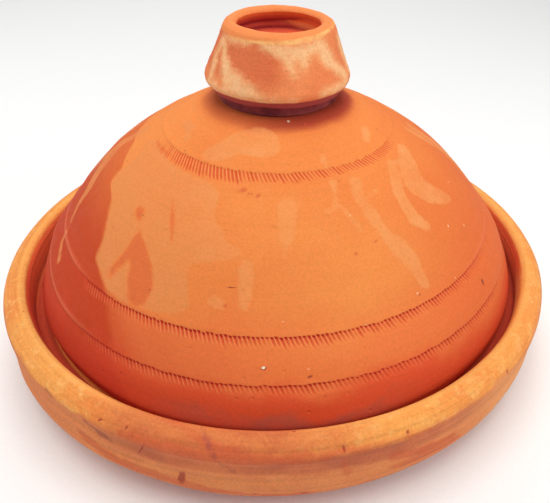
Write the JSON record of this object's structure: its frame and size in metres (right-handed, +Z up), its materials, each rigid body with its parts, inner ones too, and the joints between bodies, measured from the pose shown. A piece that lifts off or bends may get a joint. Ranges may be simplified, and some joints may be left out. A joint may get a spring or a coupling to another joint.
{
  "type": "tagine pot",
  "caption": "Unglazed clay tagine: shallow round cooking dish with a thick rolled lip, and a domed lid with a hollow flared knob seated inside the lip.",
  "frame": {"origin": "middle of the dish's foot, on the table", "axes": "+Z up along the turning axis of the dish and lid; -Y faces the viewer"},
  "size_m": [0.3, 0.3, 0.175],
  "materials": {
    "dish_clay": "unglazed fired earthenware, matt and sandy, pale orange",
    "dome_clay": "unglazed fired earthenware, matt, red orange with pale slip washes",
    "knob_clay": "unglazed fired earthenware, matt, with a cream lime bloom",
    "collar_clay": "smeared clay slip, matt and dark"
  },
  "bodies": {
    "dish": {"base_dish": "dish_clay"},
    "lid": {"lid_dome": "dome_clay", "lid_knob": "knob_clay", "knob_luting_collar": "collar_clay"}
  },
  "joints": [
    {"name": "lid_lift", "type": "slide", "parent": "dish", "child": "lid", "axis": [0, 0, 1], "range_m": [0, 0.16]}
  ]
}
